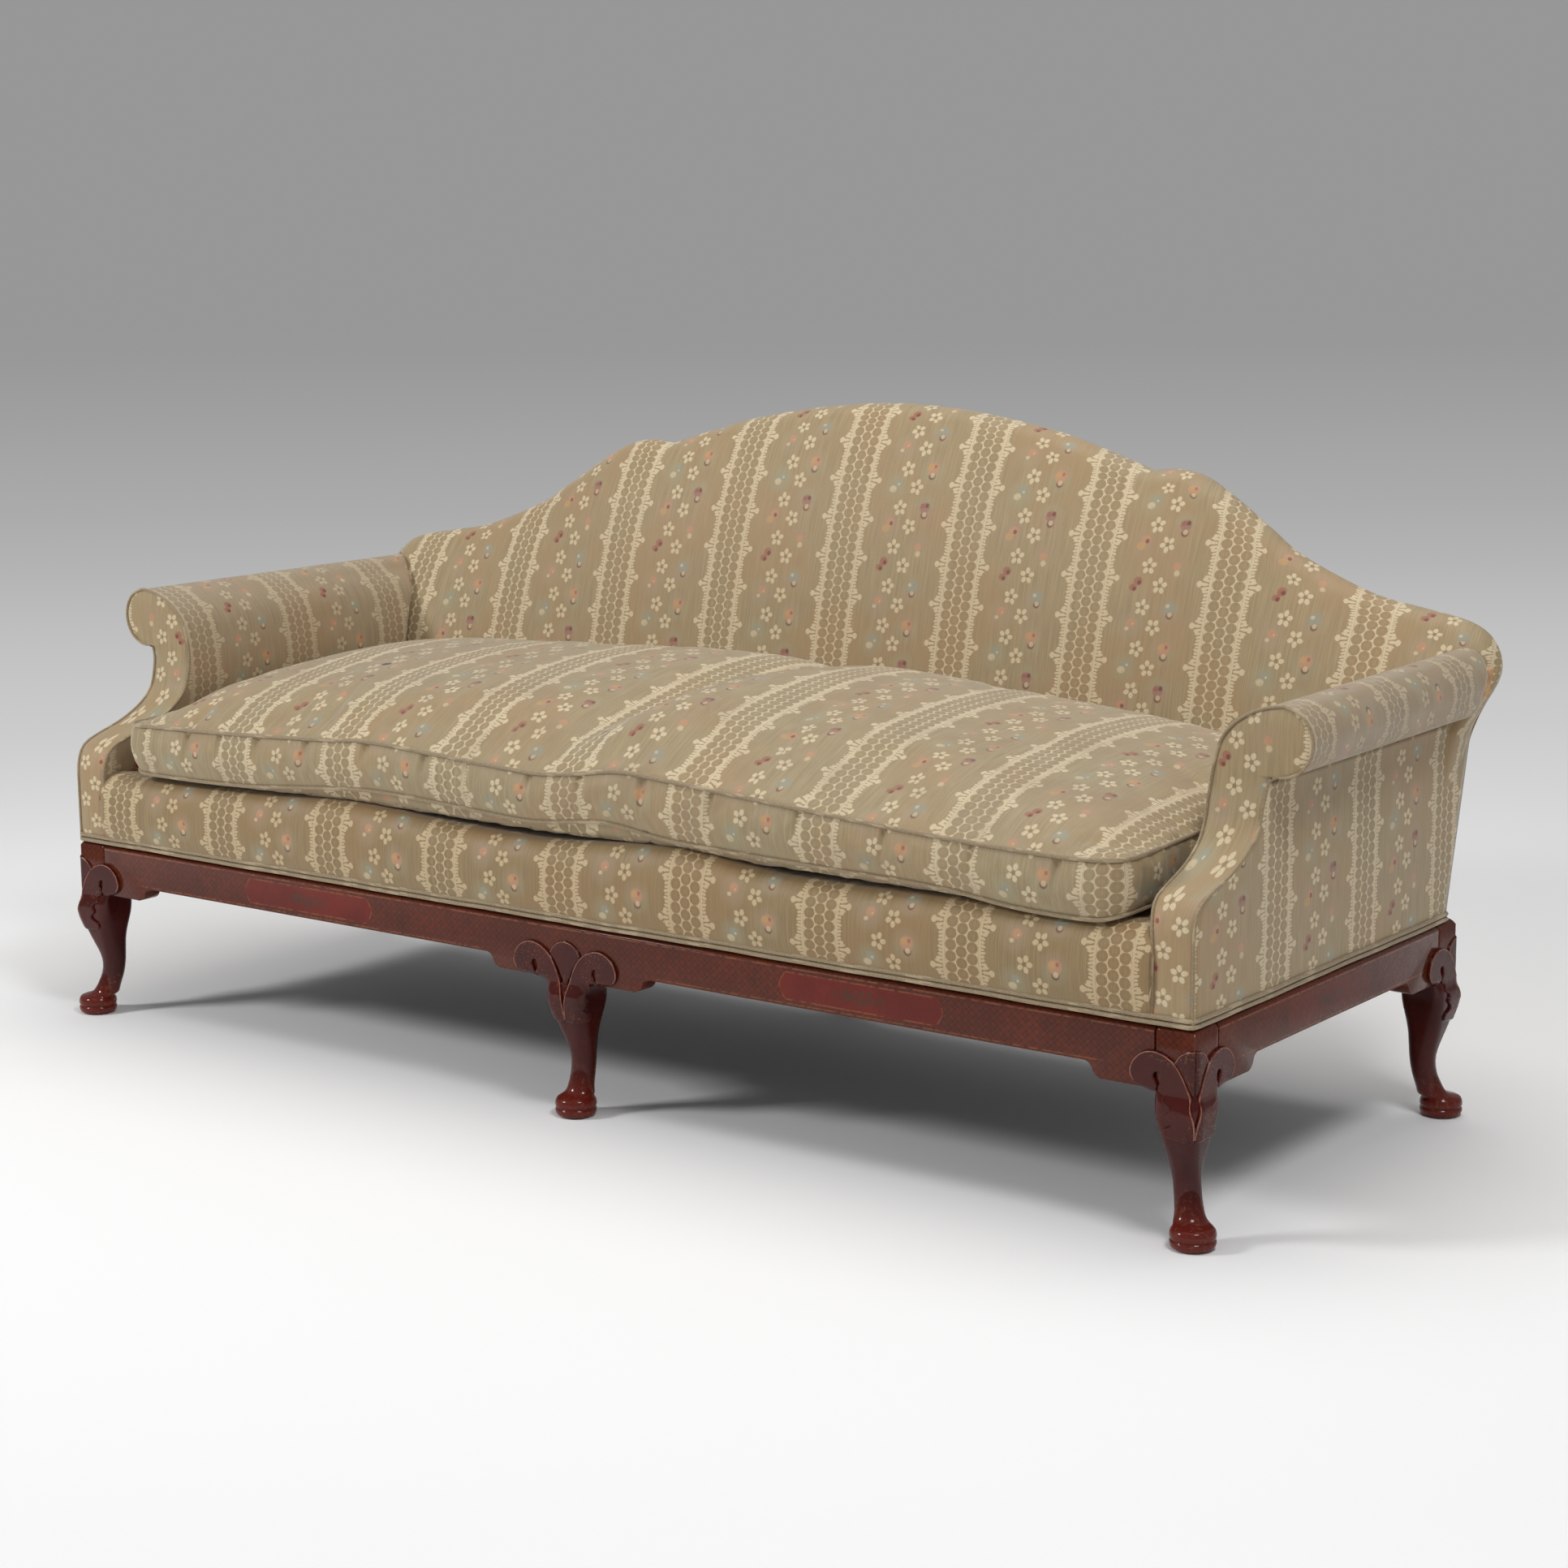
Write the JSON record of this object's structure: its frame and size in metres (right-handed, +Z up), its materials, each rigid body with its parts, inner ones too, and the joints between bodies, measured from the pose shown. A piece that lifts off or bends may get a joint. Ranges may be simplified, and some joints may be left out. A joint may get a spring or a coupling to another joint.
{
  "type": "cabriole sofa",
  "caption": "Long upholstered sofa with an arched back, scrolled arms and a loose box cushion, on a low lacquered base with cabriole legs.",
  "frame": {"origin": "on the floor, under the middle of the whole sofa's bounding box", "axes": "+X along the length towards the sofa's right end as seen from the front, +Y from the front edge towards the back, +Z up"},
  "size_m": [2.191, 0.9076, 0.975],
  "materials": {
    "lacquered_wood": "red japanned lacquer, gilt decoration, glossy",
    "carved_lacquer": "red japanned lacquer with gilt edges, glossy",
    "frame_wood": "planed beech, unfinished",
    "screw_steel": "plain countersunk wood screws",
    "webbing": "plain jute webbing",
    "spring_steel": "coppered spring wire",
    "hessian": "coarse jute hessian",
    "stuffing": "hair and cotton felt",
    "platform_cloth": "plain cotton lining",
    "brocade": "silk brocade with lace stripes and flower sprays, satin ground",
    "welt_brocade": "silk brocade cut on the cross, over a cord",
    "black_cloth": "thin black cotton"
  },
  "bodies": {
    "frame": {"arm_stay_rails": "frame_wood", "arm_top_rails": "frame_wood", "back_muntins": "frame_wood", "back_stay_rail": "frame_wood", "back_stiles": "frame_wood", "back_stuffing": "stuffing", "back_webbing": "webbing", "base_welts": "welt_brocade", "corner_block_screws": "screw_steel", "corner_blocks": "frame_wood", "crest_rail": "frame_wood", "deck_cover": "platform_cloth", "deck_stuffing": "stuffing", "dust_cover": "black_cloth", "edge_springs": "spring_steel", "edge_wire": "spring_steel", "facing_welts": "welt_brocade", "front_border_cover": "brocade", "front_border_stuffing": "stuffing", "front_knee_carvings": "carved_lacquer", "front_left_leg": "lacquered_wood", "front_middle_leg": "lacquered_wood", "front_rail": "lacquered_wood", "front_right_leg": "lacquered_wood", "front_seat_bearer": "frame_wood", "inside_back_cover": "brocade", "left_arm_cover": "brocade", "left_arm_facing": "brocade", "left_arm_post": "frame_wood", "left_arm_stuffing": "stuffing", "left_outside_arm_cover": "brocade", "left_side_rail": "lacquered_wood", "outside_back_cover": "brocade", "rear_knee_carvings": "carved_lacquer", "rear_left_leg": "lacquered_wood", "rear_middle_leg": "lacquered_wood", "rear_rail": "lacquered_wood", "rear_right_leg": "lacquered_wood", "rear_seat_bearer": "frame_wood", "right_arm_cover": "brocade", "right_arm_facing": "brocade", "right_arm_post": "frame_wood", "right_arm_stuffing": "stuffing", "right_outside_arm_cover": "brocade", "right_side_rail": "lacquered_wood", "scroll_welts": "welt_brocade", "seat_cross_rails": "frame_wood", "seat_springs": "spring_steel", "seat_webbing_crosswise": "webbing", "seat_webbing_lengthwise": "webbing", "side_seat_bearers": "frame_wood", "spring_hessian": "hessian"},
    "seat_cushion": {"cushion_cover": "brocade", "cushion_filling": "stuffing", "cushion_welts": "welt_brocade"}
  },
  "joints": [
    {"name": "cushion_lift", "type": "slide", "parent": "frame", "child": "seat_cushion", "axis": [0, 0, 1], "range_m": [0, 0.5]}
  ]
}
